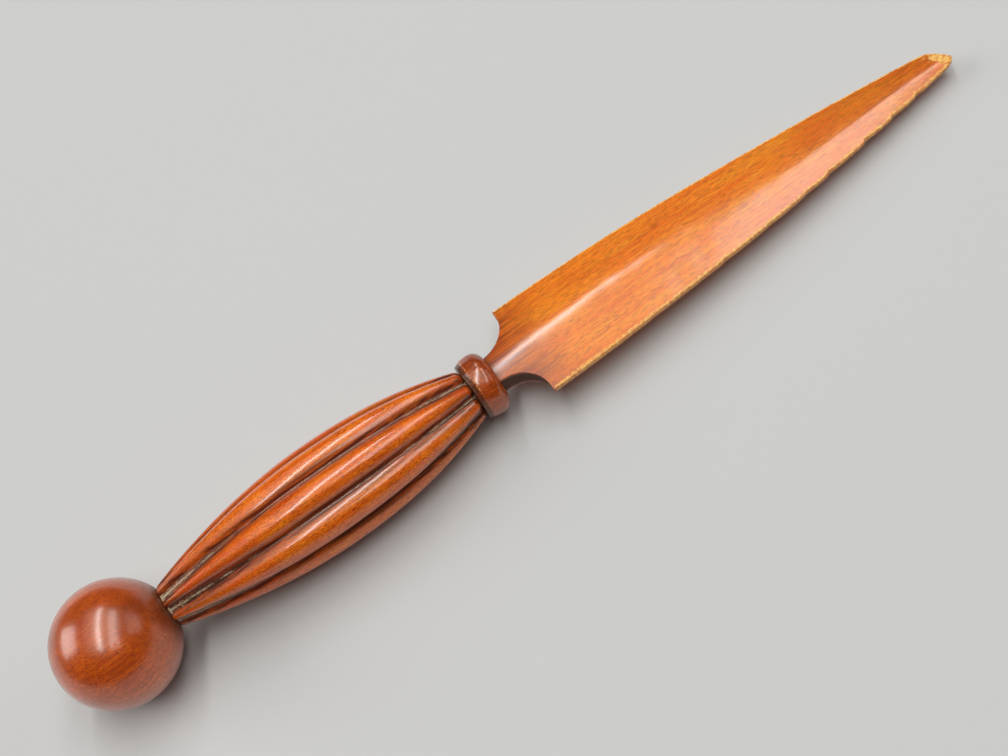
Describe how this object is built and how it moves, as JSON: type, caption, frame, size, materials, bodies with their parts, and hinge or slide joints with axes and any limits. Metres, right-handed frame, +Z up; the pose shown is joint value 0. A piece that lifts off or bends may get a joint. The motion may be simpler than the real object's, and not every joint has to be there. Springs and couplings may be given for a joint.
{
  "type": "letter opener",
  "caption": "Wooden letter opener with a ball pommel, a barrel grip carved into rounded lobes, a ring collar and a tapering blade with scooped shoulders.",
  "frame": {"origin": "centre of the part's box at desk level, where it lies on its ball and on the belly of its grip", "axes": "+X from the ball towards the tip of the blade, +Z up from the desk, the flat of the blade facing up"},
  "size_m": [0.254, 0.03, 0.03],
  "materials": {
    "handle_wood": "dark red-brown stain under gloss varnish",
    "blade_wood": "orange-brown stain under gloss varnish",
    "dowel_wood": "bare wood"
  },
  "bodies": {
    "root": {"pommel_ball": "handle_wood", "grip": "handle_wood", "collar": "handle_wood", "blade": "blade_wood", "pommel_dowel": "dowel_wood"}
  },
  "joints": []
}
